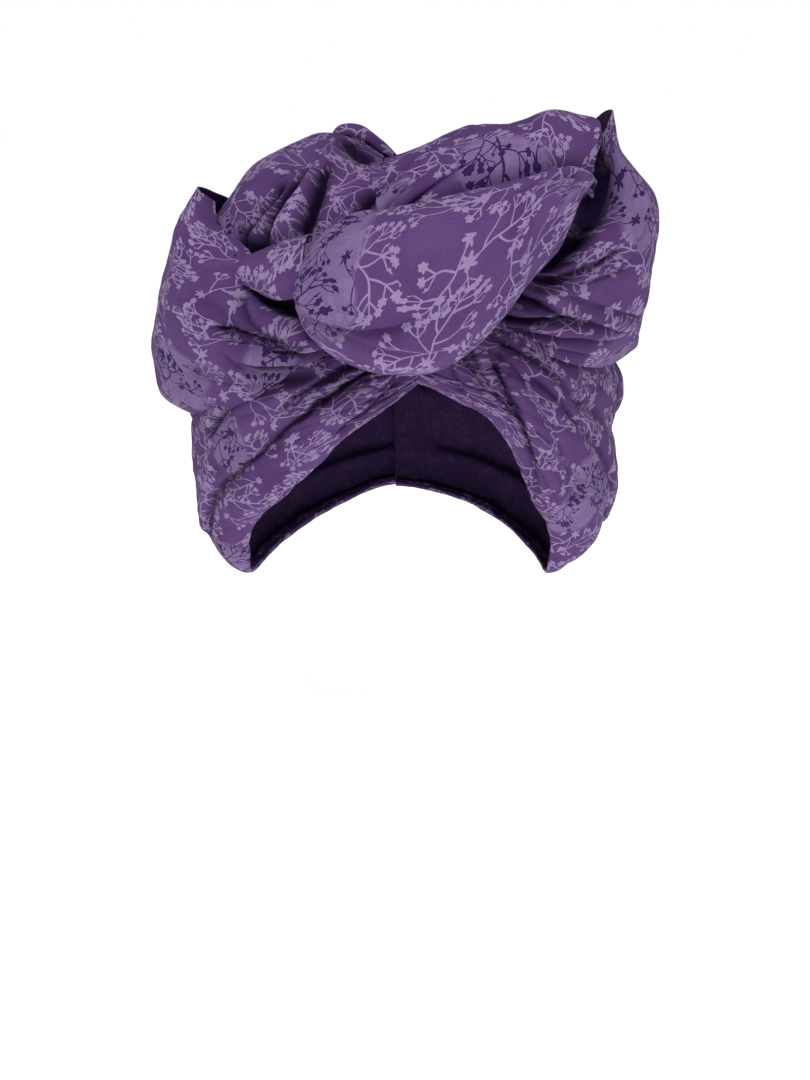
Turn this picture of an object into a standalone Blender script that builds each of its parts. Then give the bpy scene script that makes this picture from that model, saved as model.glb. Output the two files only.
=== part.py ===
"""A ready-tied turban: cloth shells wound round a hollow for the wearer, gathered under a front knot.

Lengths in the tables are millimetres. The front is -Y and +Z is up. The origin is the inner top of
the cap, where the turban bears on its wearer.
"""

import math

import bmesh
import bpy
import numpy as np

MM = 0.001

# The hollow: half sizes at its widest level, and how it narrows above and below that level
HOLLOW_SIDE = 78.0
HOLLOW_FRONT = 92.0
HOLLOW_BACK = 100.0
WIDEST_LEVEL = -100.0
CROWN_ROUNDNESS = 2.4
LOWER_TAPER = 0.16

# One layer of cloth, and the level of the cap's rim at the front and at the back
CLOTH = 2.0
CAP_RIM_FRONT = -48.0
CAP_RIM_BACK = -76.0
CAP_SECTORS = 28
CAP_RINGS = 9

# The low ridges beside a fold's valley: their place in fold widths, and their share of its depth
RIDGE_PLACE = 1.7
RIDGE_SHARE = 0.3
FOLD_STEPS = 25

# A section of a side band: azimuth from the front, then level and stand-off of top, middle and hem
BAND_COLUMNS = ("azimuth", "top", "top_off", "middle", "middle_off", "hem", "hem_off")
BAND_RIGHT = (
    (5.4, -54, 3.2, -62, 5, -69, 1.0),
    (13, -52, 4.0, -65, 9, -77, 1.0),
    (26, -50, 4.5, -72, 12, -88, 1.0),
    (36, -52, 4.5, -80, 14, -106, 1.0),
    (47, -55, 4.5, -95, 17, -130, 1.0),
    (60, -58, 4.5, -107, 20, -150, 1.0),
    (80, -62, 4.5, -124, 26, -180, 2.0),
    (95, -62, 4.5, -130, 27, -187, 2.0),
    (120, -60, 4.5, -126, 20, -184, 1.0),
    (150, -55, 4.5, -115, 12, -176, 1.0),
    (184, -55, 4.5, -112, 9, -170, 1.0),
)
BAND_LEFT = (
    (4.0, -56, 3.2, -63, 4.5, -69, 1.0),
    (-4, -54, 4.0, -68, 7, -78, 1.0),
    (-16, -52, 4.5, -74, 10, -91, 1.0),
    (-31, -54, 4.5, -84, 12, -111, 1.0),
    (-44, -56, 4.5, -92, 14, -127, 1.0),
    (-64, -60, 4.5, -106, 19, -149, 3.0),
    (-82, -62, 4.5, -124, 23, -178, 5.5),
    (-96, -62, 4.5, -128, 24, -187, 6.0),
    (-120, -60, 4.5, -124, 19, -184, 3.0),
    (-150, -56, 5.5, -115, 14, -177, 2.0),
    (-172, -56, 9.5, -112, 13.5, -171, 6.2),
    (-188, -56, 9.5, -112, 13.5, -171, 6.2),
)

# A section of a knot, loop, puff or roll: its inner edge, its crest and its outer edge, as x, y, z
KNOT = (
    ((-36, -108, -30), (-40, -110, -34), (-35, -107, -39)),
    ((-33, -104, -17), (-39, -117, -33), (-33, -105, -49)),
    ((-24, -104, -8), (-27, -130, -30), (-27, -105, -56)),
    ((-10, -105, -4), (-10, -138, -28), (-13, -106, -63)),
    ((5, -106, -1), (5, -140, -26), (8, -106, -64)),
    ((19, -105, 2), (20, -137, -21), (23, -105, -57)),
    ((36, -102, 5), (37, -129, -12), (35, -105, -46)),
    ((51, -95, 8), (49, -117, -4), (47, -102, -31)),
    ((62, -87, 8), (61, -102, -1), (61, -94, -15)),
    ((70, -79, 5), (71, -88, 0), (69, -84, -7)),
    ((74, -75, 2), (75, -79, 0), (73, -78, -3)),
)
ROLL_TOP = (
    ((-9, -84, -10), (-7, -64, 9), (-6, -28, 6)),
    ((6, -91, -6), (8, -62, 17), (8, -6, 5)),
    ((22, -91, -3), (26, -58, 24.5), (26, 6, 1)),
    ((40, -87, 0), (42, -56, 25.5), (42, 10, -5)),
    ((53, -81, 2), (58, -52, 30), (53, 8, -13)),
    ((62, -73, 2), (70, -48, 25), (60, 0, -16)),
    ((68, -66, 1), (76, -44, 23), (68, -8, -14)),
)
LOOP_RIGHT = (
    ((80, -44, 20), (82, -32, 28), (64, 2, -2)),
    ((80, -56, 8), (87, -28, 13), (60, 23, -17)),
    ((79, -64, -3), (103.5, -25, -9), (60, 39, -30)),
    ((70, -80, -15), (104.5, -25, -28), (62, 48, -42)),
    ((56, -91, -26), (104, -28, -46), (66, 54, -52)),
    ((44, -95, -37), (102, -34, -59), (82, 50, -62)),
    ((36, -96, -45), (95, -42, -67), (97, 36, -70)),
    ((37, -94, -48), (90, -46, -70), (96, 34, -73)),
)
PUFF_LEFT = (
    ((-80.5, -40, -4), (-82.5, -30, -1), (-64, 4, -15)),
    ((-80, -46, -12), (-93, -25, -16), (-62, 25, -26)),
    ((-70, -58, -22), (-103, -22, -34), (-64, 42, -39)),
    ((-62, -74, -32), (-108, -24, -52), (-66, 52, -51)),
    ((-50, -88, -41), (-112, -26, -68), (-84, 50, -62)),
    ((-38, -98, -47), (-107.5, -30, -82), (-98, 38, -73)),
    ((-32, -99, -53), (-101, -38, -90), (-100, 24, -83)),
    ((-33, -97, -55), (-96, -40, -92), (-99, 20, -86)),
)
SWIRL_LEFT = (
    ((-56, -48, -18), (-74, -20, -5), (-56, 10, -15)),
    ((-51, -62, -26), (-67, -20, 6), (-53, 23, -16)),
    ((-44, -73, -27), (-55, -22, 14), (-44, 33, -12)),
    ((-33, -83, -24), (-42, -26, 18), (-41, 12, 4)),
    ((-22, -89, -18), (-27, -48, 14), (-26, -24, 9)),
    ((-14, -90, -12), (-12, -54, 11), (-12, -30, 7)),
)
CREST_LEFT = (
    ((-34, 2, 9), (-34, 8, 16), (-35, 20, 4)),
    ((-30, -12, 9), (-29, -4, 23), (-32, 30, 0)),
    ((-20, -20, 8), (-19, -8, 24), (-18, 34, 0)),
    ((-10, -20, 8), (-10, -10, 18), (-4, 30, 2)),
    ((-4, -20, 9), (-4, -12, 12), (2, 18, 4)),
)
TUCK_LEFT = (
    ((-64, -73, -24), (-65, -81, -28), (-62, -80, -34)),
    ((-55, -80, -20), (-56, -93, -27), (-54, -88, -37)),
    ((-47, -87, -16), (-49, -101, -26), (-48, -95, -37.5)),
    ((-40, -92, -13), (-43, -105, -24), (-41, -99, -35)),
)

# A fold: three places on the surface, each as shares along and across the piece, then how deep it
# is where it starts and where it ends, and how wide its valley is
FOLD_COLUMNS = ("start", "bend", "end", "start_depth", "end_depth", "width")
BAND_RIGHT_FOLDS = (
    ((0.46, 0.36), (0.62, 0.42), (0.80, 0.42), 6.0, 4.0, 12.0),
    ((0.48, 0.84), (0.62, 0.86), (0.76, 0.84), 2.5, 2.0, 9.0),
    ((0.17, 0.15), (0.25, 0.60), (0.37, 0.83), 5.0, 2.0, 5.0),
    ((0.20, 0.12), (0.38, 0.40), (0.60, 0.54), 4.0, 2.0, 6.0),
    ((0.11, 0.20), (0.15, 0.50), (0.18, 0.76), 4.0, 2.0, 4.0),
    ((0.26, 0.12), (0.41, 0.22), (0.55, 0.32), 3.0, 2.0, 6.0),
)
BAND_LEFT_FOLDS = (
    ((0.13, 0.28), (0.33, 0.58), (0.56, 0.70), 5.0, 3.0, 5.5),
    ((0.14, 0.20), (0.23, 0.38), (0.32, 0.49), 3.0, 2.0, 5.0),
    ((0.36, 0.30), (0.43, 0.45), (0.50, 0.53), 4.0, 2.0, 6.0),
)
LOOP_RIGHT_FOLDS = (
    ((0.54, 0.08), (0.44, 0.12), (0.32, 0.22), 3.0, 1.5, 6.0),
    ((0.62, 0.08), (0.58, 0.16), (0.47, 0.24), 4.0, 2.0, 6.0),
    ((0.73, 0.08), (0.72, 0.18), (0.63, 0.31), 4.0, 2.0, 6.0),
    ((0.86, 0.08), (0.82, 0.18), (0.82, 0.34), 4.0, 2.0, 6.0),
)
PUFF_LEFT_FOLDS = (
    ((0.92, 0.09), (0.84, 0.15), (0.74, 0.24), 3.5, 2.5, 5.0),
    ((0.84, 0.08), (0.72, 0.12), (0.58, 0.20), 3.0, 2.0, 5.0),
    ((0.74, 0.07), (0.62, 0.10), (0.48, 0.15), 2.5, 1.5, 5.0),
    ((0.26, 0.24), (0.43, 0.28), (0.62, 0.31), 2.0, 3.0, 9.0),
)
SWIRL_LEFT_FOLDS = (
    ((0.52, 0.34), (0.44, 0.24), (0.24, 0.12), 4.0, 3.0, 5.0),
    ((0.66, 0.38), (0.54, 0.22), (0.40, 0.10), 4.0, 3.0, 5.0),
    ((0.76, 0.38), (0.68, 0.24), (0.58, 0.10), 4.0, 3.0, 4.5),
)
ROLL_TOP_FOLDS = (
    ((0.10, 0.36), (0.45, 0.31), (0.88, 0.27), 1.5, 2.5, 7.0),
)
KNOT_FOLDS = (
    ((0.20, 0.60), (0.29, 0.66), (0.40, 0.68), 2.5, 1.0, 5.0),
    ((0.78, 0.36), (0.85, 0.52), (0.94, 0.54), 1.5, 2.5, 4.5),
)

VIOLET = (0.125, 0.06, 0.30, 1)
ROUGHNESS = 0.85


def narrowing(level):
    """The hollow's size at a level, as a share of its size at the widest level."""
    if level > WIDEST_LEVEL:
        height = min(1.0, (level - WIDEST_LEVEL) / -WIDEST_LEVEL)
        return max(0.0, 1 - height**CROWN_ROUNDNESS) ** (1 / CROWN_ROUNDNESS)
    drop = (level - WIDEST_LEVEL) / WIDEST_LEVEL
    return 1 - LOWER_TAPER * drop**2


def off_hollow(azimuth, level, off):
    """A point that stands off the hollow's side by this much."""
    turn = math.radians(azimuth)
    depth = HOLLOW_FRONT if math.cos(turn) > 0 else HOLLOW_BACK
    size = narrowing(level)
    side = (HOLLOW_SIDE * size + off) * math.sin(turn)
    return np.array((side, -(depth * size + off) * math.cos(turn), level))


def through(rows, share):
    """The smooth curve through the rows, read at a share of the way from first to last."""
    place = share * (len(rows) - 1)
    first = min(int(place), len(rows) - 2)
    part = place - first
    before = rows[max(first - 1, 0)]
    start = rows[first]
    end = rows[first + 1]
    after = rows[min(first + 2, len(rows) - 1)]
    return 0.5 * (
        2 * start
        + (end - before) * part
        + (2 * before - 5 * start + 4 * end - after) * part**2
        + (3 * start - before - 3 * end + after) * part**3
    )


def band_section(rows, along):
    """Top, middle and hem points of a side band at a share of its length."""
    row = dict(zip(BAND_COLUMNS, through(rows, along)))
    return [off_hollow(row["azimuth"], row[part], row[part + "_off"]) for part in ("top", "middle", "hem")]


def arc_point(inner, crest, outer, across, curls):
    """A point on the elliptic arc from edge to edge across the crest; a curl carries it past an edge."""
    angle = -curls[0] + across * (math.pi + curls[0] + curls[1])
    middle = (inner + outer) / 2
    return middle - (outer - inner) / 2 * math.cos(angle) + (crest - middle) * math.sin(angle)


def surface_grid(section, curls, along_count, across_count):
    """Rows of points over the whole surface."""
    grid = np.empty((along_count, across_count, 3))
    for i in range(along_count):
        edges = section(i / (along_count - 1))
        for j in range(across_count):
            grid[i, j] = arc_point(*edges, j / (across_count - 1), curls)
    return grid


def outward_normals(grid, outward):
    normals = np.cross(np.gradient(grid, axis=0), np.gradient(grid, axis=1))
    normals /= np.linalg.norm(normals, axis=2, keepdims=True) + 1e-9
    middle = normals[grid.shape[0] // 2, grid.shape[1] // 2]
    return normals if np.dot(middle, outward) > 0 else -normals


def fold_offsets(grid, section, curls, folds):
    """How far the folds press each point in, or raise it beside a valley."""
    offsets = np.zeros(grid.shape[:2])
    for fold in folds:
        fold = dict(zip(FOLD_COLUMNS, fold))
        start, bend, end = (np.array(fold[place]) for place in ("start", "bend", "end"))
        nearest = np.full(grid.shape[:2], np.inf)
        depth = np.zeros(grid.shape[:2])
        for step in np.linspace(0, 1, FOLD_STEPS):
            place = (1 - step) ** 2 * start + 2 * step * (1 - step) * bend + step**2 * end
            point = arc_point(*section(place[0]), place[1], curls)
            distance = np.linalg.norm(grid - point, axis=2) / fold["width"]
            closer = distance < nearest
            nearest[closer] = distance[closer]
            depth[closer] = fold["start_depth"] + (fold["end_depth"] - fold["start_depth"]) * step
        valley = np.exp(-(nearest**2))
        ridge = RIDGE_SHARE * np.exp(-((nearest - RIDGE_PLACE) ** 2))
        offsets += depth * (ridge - valley)
    return offsets


def cloth_piece(name, section, outward, counts, curls=(0, 0), folds=()):
    """A cloth wall through the piece's sections, with its folds pressed in."""
    curls = tuple(math.radians(curl) for curl in curls)
    grid = surface_grid(section, curls, *counts)
    normals = outward_normals(grid, outward)
    grid = grid + normals * fold_offsets(grid, section, curls, folds)[..., None]
    across = counts[1]
    faces = []
    for i in range(counts[0] - 1):
        for j in range(across - 1):
            corner = i * across + j
            faces.append((corner, corner + across, corner + across + 1, corner + 1))
    i, j = counts[0] // 2, across // 2
    facing = np.cross(grid[i + 1, j] - grid[i, j], grid[i, j + 1] - grid[i, j])
    if np.dot(facing, outward) < 0:
        faces = [face[::-1] for face in faces]
    mesh = bpy.data.meshes.new(name)
    mesh.from_pydata([tuple(point * MM) for point in grid.reshape(-1, 3)], [], faces)
    walled(name, mesh)


def walled(name, mesh):
    """The surface as an object, with the cloth's thickness on its inner side."""
    piece = bpy.data.objects.new(name, mesh)
    collection.objects.link(piece)
    material = bpy.data.materials.new(name + "_cloth")
    material.use_nodes = True
    shader = material.node_tree.nodes["Principled BSDF"]
    shader.inputs["Base Color"].default_value = VIOLET
    shader.inputs["Roughness"].default_value = ROUGHNESS
    mesh.materials.append(material)
    mesh.shade_smooth()
    thickness = piece.modifiers.new("cloth", "SOLIDIFY")
    thickness.thickness = CLOTH * MM
    thickness.offset = -1


def side_band(name, rows, counts, folds):
    """A band from under the knot round one side to the back."""
    rows = [np.array(row, float) for row in rows]

    def section(along):
        return band_section(rows, along)

    top, middle, hem = section(0.5)
    cloth_piece(name, section, middle - (top + hem) / 2, counts, (0, 0), folds)


def rolled_piece(name, rows, counts, curls, folds=()):
    """A knot, loop, puff or roll."""
    rows = [np.array(row, float) for row in rows]

    def section(along):
        return through(rows, along)

    inner, crest, outer = section(0.5)
    cloth_piece(name, section, crest - (inner + outer) / 2, counts, curls, folds)


def cap():
    """The dome over the top of the hollow, whose rim lies inside the side bands."""
    shape = bmesh.new()
    bmesh.ops.create_uvsphere(shape, u_segments=CAP_SECTORS, v_segments=2 * CAP_RINGS, radius=1)
    lower = [vertex for vertex in shape.verts if vertex.co.z < -1e-4]
    bmesh.ops.delete(shape, geom=lower, context="VERTS")
    for vertex in shape.verts:
        x, y, z = vertex.co
        toward_front = (1 - y) / 2
        rim = CAP_RIM_BACK + (CAP_RIM_FRONT - CAP_RIM_BACK) * toward_front
        azimuth = math.degrees(math.atan2(x, -y))
        point = off_hollow(azimuth, rim * (1 - z), CLOTH * math.hypot(x, y))
        vertex.co = (point + np.array((0, 0, CLOTH * z))) * MM
    mesh = bpy.data.meshes.new("cap")
    shape.to_mesh(mesh)
    shape.free()
    walled("cap", mesh)


for old in list(bpy.data.objects):
    bpy.data.objects.remove(old, do_unlink=True)
collection = bpy.data.collections.new("turban")
bpy.context.scene.collection.children.link(collection)

cap()
side_band("band_right", BAND_RIGHT, (39, 11), BAND_RIGHT_FOLDS)
side_band("band_left", BAND_LEFT, (39, 11), BAND_LEFT_FOLDS)
rolled_piece("knot", KNOT, (22, 14), (14, 14), KNOT_FOLDS)
rolled_piece("roll_top", ROLL_TOP, (15, 14), (16, 0), ROLL_TOP_FOLDS)
rolled_piece("loop_right", LOOP_RIGHT, (23, 19), (8, 0), LOOP_RIGHT_FOLDS)
rolled_piece("puff_left", PUFF_LEFT, (23, 19), (8, 0), PUFF_LEFT_FOLDS)
rolled_piece("swirl_left", SWIRL_LEFT, (18, 16), (8, 0), SWIRL_LEFT_FOLDS)
rolled_piece("crest_left", CREST_LEFT, (9, 10), (8, 0))
rolled_piece("tuck_left", TUCK_LEFT, (7, 9), (16, 16))
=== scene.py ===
"""Looks of the ready-tied turban: gathered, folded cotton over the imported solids, with a sprig print.

Lengths in the tables are millimetres, as in the part's source. Everything made is in metres.
"""

import math

import bpy
import numpy as np
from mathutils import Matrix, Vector


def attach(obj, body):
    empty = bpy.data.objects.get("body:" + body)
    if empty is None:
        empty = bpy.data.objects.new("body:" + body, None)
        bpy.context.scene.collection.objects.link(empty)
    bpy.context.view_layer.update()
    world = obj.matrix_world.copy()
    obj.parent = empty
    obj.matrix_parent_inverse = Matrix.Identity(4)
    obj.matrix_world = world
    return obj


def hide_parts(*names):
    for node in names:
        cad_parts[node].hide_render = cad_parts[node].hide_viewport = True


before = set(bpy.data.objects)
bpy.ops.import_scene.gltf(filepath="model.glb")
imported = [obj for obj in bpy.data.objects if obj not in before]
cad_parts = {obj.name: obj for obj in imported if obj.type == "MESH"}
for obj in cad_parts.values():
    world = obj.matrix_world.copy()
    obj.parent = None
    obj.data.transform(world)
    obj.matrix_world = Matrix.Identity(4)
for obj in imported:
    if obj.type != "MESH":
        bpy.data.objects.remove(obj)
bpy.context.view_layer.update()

MM = 0.001

# The hollow for the wearer, as the part's source has it
HOLLOW_SIDE = 78.0
HOLLOW_FRONT = 92.0
HOLLOW_BACK = 100.0
WIDEST_LEVEL = -100.0
CROWN_ROUNDNESS = 2.4
LOWER_TAPER = 0.16

# The cap's cloth reaches down behind the tops of the bands
CAP_RIM_FRONT = -60.0
CAP_RIM_BACK = -79.0
CAP_STANDS = 2.0
CAP_FLAT = 230.0
CAP_TURNED = 0.4
CAP_COUNTS = (160, 48)

# Thickness of one layer of cotton
CLOTH = 1.1

# A folded-in edge: its radius, the angles in degrees that its columns turn through, the columns of the
# surface, counted from its edge, that it runs back under, and the cloth that each new column takes
EDGE_RADIUS = 1.3
EDGE_TURN = (30, 60, 90, 120, 150, 180)
EDGE_RETURN = (2, 5, 8)
EDGE_COLUMNS = len(EDGE_TURN) + len(EDGE_RETURN)
EDGE_STEP = 1.5

# A piece's nominal size is the arc length that this percentage of its rows or columns stays under
NOMINAL_PERCENTILE = 80

# How often each point is drawn towards its neighbours after the folding
EASING_PASSES = 2

# A section of a side band: azimuth from the front, then level and stand-off of top, middle and hem
BAND_COLUMNS = ("azimuth", "top", "top_off", "middle", "middle_off", "hem", "hem_off")
BAND_RIGHT = (
    (1.0, -54, 2.6, -62, 4.2, -69, 1.0),
    (13, -52, 4.0, -65, 9, -77, 1.0),
    (26, -50, 4.5, -72, 12, -88, 1.0),
    (36, -52, 4.5, -80, 14, -106, 1.0),
    (47, -55, 4.5, -95, 17, -130, 1.0),
    (60, -58, 4.5, -107, 20, -150, 1.0),
    (80, -62, 4.5, -124, 23.5, -180, 1.0),
    (95, -62, 4.5, -130, 23.5, -187, 1.0),
    (120, -60, 3.8, -126, 19, -184, 1.0),
    (150, -55, 3.4, -115, 12, -176, 1.0),
    (184, -55, 3.4, -112, 9, -170, 1.0),
)
BAND_LEFT = (
    (5.0, -56, 4.2, -62, 6.0, -68, 2.4),
    (-4, -54, 4.0, -68, 7, -78, 1.0),
    (-16, -52, 4.5, -74, 10, -91, 1.0),
    (-31, -54, 4.5, -84, 12, -111, 1.0),
    (-44, -56, 4.5, -92, 14, -127, 1.0),
    (-64, -60, 4.5, -106, 19, -149, 3.0),
    (-82, -62, 4.5, -124, 23, -179, 7.0),
    (-96, -62, 4.5, -128, 24, -188, 7.5),
    (-120, -60, 4.5, -124, 19, -184, 3.0),
    (-150, -56, 5.5, -115, 14, -177, 2.0),
    (-172, -56, 7.4, -112, 13.5, -171, 6.2),
    (-188, -56, 7.4, -112, 13.5, -171, 6.2),
)

# A section of a knot, loop, puff or roll: its inner edge, its crest and its outer edge, as x, y, z
KNOT = (
    ((-36, -108, -30), (-40, -110, -34), (-35, -107, -39)),
    ((-33, -104, -17), (-39, -117, -33), (-33, -105, -49)),
    ((-24, -104, -8), (-27, -130, -30), (-27, -105, -56)),
    ((-10, -105, -4), (-10, -138, -28), (-13, -106, -63)),
    ((5, -106, -1), (5, -140, -26), (8, -106, -64)),
    ((19, -105, 2), (20, -137, -21), (23, -105, -57)),
    ((36, -102, 5), (37, -129, -12), (35, -105, -45)),
    ((51, -95, 8), (49, -118, -4), (48, -102, -28)),
    ((62, -87, 9), (60, -107, 2), (57, -99, -18)),
    ((69, -81, 7), (65, -101, 3), (60, -97, -13)),
    ((73, -77, 3), (68, -93, 4), (62, -92, -7)),
)
ROLL_TOP = (
    ((-10, -84, -12), (-9, -64, 9), (-8, -28, 6)),
    ((6, -91, -6), (8, -62, 17), (8, -6, 5)),
    ((22, -91, -3), (26, -58, 24.5), (26, 6, 1)),
    ((40, -87, 0), (42, -56, 25.5), (42, 10, -5)),
    ((53, -81, 2), (58, -52, 30), (53, 8, -13)),
    ((64, -73, 5), (70, -49, 26), (60, 0, -16)),
    ((75, -62, 9), (77, -46, 22), (68, -8, -14)),
)
LOOP_RIGHT = (
    ((78, -46, 19), (80, -32, 28), (62, 2, -2)),
    ((78, -57, 8), (84, -28, 11.5), (60, 23, -17)),
    ((78, -65, -3), (102, -25, -9), (60, 39, -30)),
    ((70, -80, -15), (104.5, -25, -28), (62, 48, -42)),
    ((56, -91, -26), (104, -28, -46), (66, 54, -52)),
    ((44, -95, -37), (102, -34, -59), (82, 50, -62)),
    ((36, -96, -45), (95, -42, -67), (97, 36, -70)),
    ((38, -92, -51), (84, -45, -74), (89, 32, -76)),
)
PUFF_LEFT = (
    ((-80.5, -40, -4), (-82.5, -30, -1), (-64, 4, -15)),
    ((-80, -46, -12), (-93, -25, -16), (-62, 25, -26)),
    ((-70, -58, -22), (-103, -22, -34), (-64, 42, -39)),
    ((-62, -74, -32), (-108, -24, -52), (-66, 52, -51)),
    ((-50, -88, -41), (-112, -26, -68), (-84, 50, -62)),
    ((-38, -98, -47), (-107.5, -30, -82), (-98, 38, -73)),
    ((-32, -99, -53), (-101, -38, -90), (-100, 24, -83)),
    ((-34, -95, -58), (-88, -38, -98), (-88, 18, -91)),
)
SWIRL_LEFT = (
    ((-68, -54, -28), (-80, -22, -12), (-60, 8, -20)),
    ((-56, -63, -29), (-67, -20, 6), (-53, 23, -16)),
    ((-44, -74, -28), (-55, -22, 13), (-44, 33, -12)),
    ((-33, -84, -25), (-42, -26, 15), (-41, 12, 4)),
    ((-22, -90, -19), (-27, -42, 16.5), (-26, -16, 10)),
    ((-10, -91, -12), (-9, -54, 10), (-9, -30, 6)),
)
CREST_LEFT = (
    ((-34, 2, 9), (-34, 8, 16), (-35, 20, 4)),
    ((-30, -12, 9), (-29, -4, 23), (-32, 30, 0)),
    ((-20, -20, 8), (-19, -8, 24), (-18, 34, 0)),
    ((-10, -20, 8), (-10, -10, 18), (-4, 30, 2)),
    ((-4, -20, 9), (-4, -12, 12), (2, 18, 4)),
)
TUCK_LEFT = (
    ((-64, -73, -24), (-65, -81, -28), (-62, -80, -34)),
    ((-55, -80, -20), (-56, -93, -27), (-54, -88, -37)),
    ((-46, -87, -16), (-48, -101, -26), (-47, -95, -37.5)),
    ((-36, -92, -13), (-38, -106, -24), (-36, -99, -35)),
)

# A fold: three places on the surface, each as shares along and across the piece, then how deep it
# is where it starts and where it ends, how wide its valley is, how far the cloth above the valley
# laps over it (below it where negative) as a share of its width, and how dark the shade painted in
# its crease is
FOLD_COLUMNS = ("start", "bend", "end", "start_depth", "end_depth", "width", "lap", "shade")
BAND_RIGHT_FOLDS = (
    ((0.46, 0.36), (0.62, 0.42), (0.80, 0.42), 6.0, 4.0, 12.0, 0.0, 0.0),
    ((0.48, 0.84), (0.62, 0.86), (0.76, 0.84), 2.5, 2.0, 9.0, 0.0, 0.0),
    ((0.19, 0.36), (0.23, 0.63), (0.36, 0.85), 5.5, 2.5, 2.2, 0.8, 0.8),
    ((0.14, 0.26), (0.16, 0.50), (0.22, 0.62), 4.5, 2.5, 2.0, 0.7, 0.6),
    ((0.29, 0.38), (0.47, 0.44), (0.56, 0.56), 3.5, 2.5, 2.4, 0.7, 0.7),
    ((0.22, 0.19), (0.36, 0.36), (0.51, 0.37), 4.5, 2.0, 2.4, 0.6, 0.7),
    ((0.12, 0.24), (0.13, 0.36), (0.16, 0.53), 4.0, 2.5, 1.8, 0.6, 0.6),
    ((0.28, 0.14), (0.42, 0.16), (0.55, 0.22), 4.0, 2.0, 2.6, 0.5, 0.8),
    ((0.20, 0.28), (0.28, 0.50), (0.42, 0.66), 3.0, 1.5, 3.0, 0.4, 0.3),
    ((0.09, 0.30), (0.10, 0.50), (0.13, 0.72), 2.5, 1.5, 1.6, 0.5, 0.5),
    ((0.56, 0.10), (0.72, 0.26), (0.90, 0.30), 4.5, 3.5, 3.6, 0.7, 0.7),
    ((0.60, 0.30), (0.76, 0.50), (0.96, 0.52), 4.5, 4.0, 3.2, 0.7, 0.7),
    ((0.58, 0.62), (0.74, 0.74), (0.94, 0.72), 3.5, 3.5, 3.4, 0.6, 0.6),
    ((0.70, 0.16), (0.82, 0.22), (0.95, 0.16), 3.0, 2.5, 2.8, 0.5, 0.6),
)
BAND_LEFT_FOLDS = (
    ((0.54, 0.71), (0.38, 0.66), (0.25, 0.50), 4.0, 4.0, 2.4, 0.7, 0.9),
    ((0.25, 0.50), (0.20, 0.44), (0.15, 0.36), 4.0, 5.0, 2.2, 0.7, 1.0),
    ((0.44, 0.47), (0.41, 0.41), (0.38, 0.34), 4.0, 3.0, 2.6, 0.7, 0.9),
    ((0.38, 0.34), (0.34, 0.31), (0.24, 0.31), 3.0, 3.0, 2.4, 0.6, 0.7),
    ((0.28, 0.45), (0.21, 0.35), (0.15, 0.27), 3.0, 5.0, 2.2, 0.7, 1.0),
    ((0.22, 0.47), (0.19, 0.44), (0.12, 0.30), 3.0, 4.0, 1.8, 0.5, 0.9),
    ((0.19, 0.73), (0.15, 0.68), (0.09, 0.58), 2.5, 3.0, 2.2, 0.5, 0.9),
    ((0.14, 0.58), (0.11, 0.52), (0.08, 0.42), 2.5, 3.0, 1.8, 0.5, 0.8),
    ((0.44, 0.60), (0.34, 0.56), (0.28, 0.44), 2.0, 1.5, 3.0, 0.3, 0.2),
    ((0.52, 0.14), (0.68, 0.30), (0.86, 0.32), 4.5, 3.5, 3.6, 0.7, 0.7),
    ((0.56, 0.36), (0.72, 0.52), (0.92, 0.54), 4.5, 4.0, 3.2, 0.7, 0.7),
    ((0.58, 0.66), (0.74, 0.76), (0.92, 0.74), 3.5, 3.5, 3.4, 0.6, 0.6),
    ((0.66, 0.14), (0.80, 0.20), (0.94, 0.14), 3.0, 2.5, 2.8, 0.5, 0.6),
)
LOOP_RIGHT_FOLDS = (
    ((0.16, 0.00), (0.24, 0.00), (0.34, 0.00), 9.0, 9.0, 6.0, 0.0, 1.3),
    ((0.56, 0.01), (0.50, 0.00), (0.43, 0.00), 6.0, 6.0, 4.5, 0.0, 1.2),
    ((0.61, 0.02), (0.61, 0.08), (0.47, 0.15), 5.0, 3.0, 2.4, 0.7, 1.0),
    ((0.64, 0.05), (0.60, 0.17), (0.50, 0.22), 3.0, 2.0, 2.4, 0.5, 0.6),
    ((0.69, 0.02), (0.69, 0.09), (0.71, 0.17), 5.5, 3.0, 3.2, 0.6, 1.1),
    ((0.80, 0.02), (0.78, 0.08), (0.74, 0.15), 6.5, 5.0, 2.6, 0.8, 1.2),
    ((0.74, 0.15), (0.72, 0.24), (0.73, 0.40), 4.5, 2.0, 2.6, 0.6, 0.9),
    ((0.65, 0.15), (0.66, 0.28), (0.65, 0.44), 3.0, 1.5, 3.2, 0.4, 0.5),
    ((0.88, 0.03), (0.82, 0.09), (0.82, 0.16), 5.0, 3.5, 2.4, 0.6, 1.0),
    ((0.88, 0.10), (0.83, 0.22), (0.79, 0.38), 4.5, 3.0, 2.6, 0.6, 0.9),
    ((0.95, 0.04), (0.92, 0.16), (0.90, 0.36), 3.5, 2.0, 2.6, 0.5, 0.7),
    ((0.74, 0.03), (0.73, 0.07), (0.72, 0.14), 2.5, 1.5, 1.8, 0.4, 0.7),
    ((0.42, 0.23), (0.37, 0.26), (0.32, 0.28), 1.5, 1.5, 4.0, 0.3, 0.2),
    ((0.30, 0.62), (0.45, 0.70), (0.62, 0.74), 3.0, 3.0, 4.0, 0.4, 0.5),
)
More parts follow.
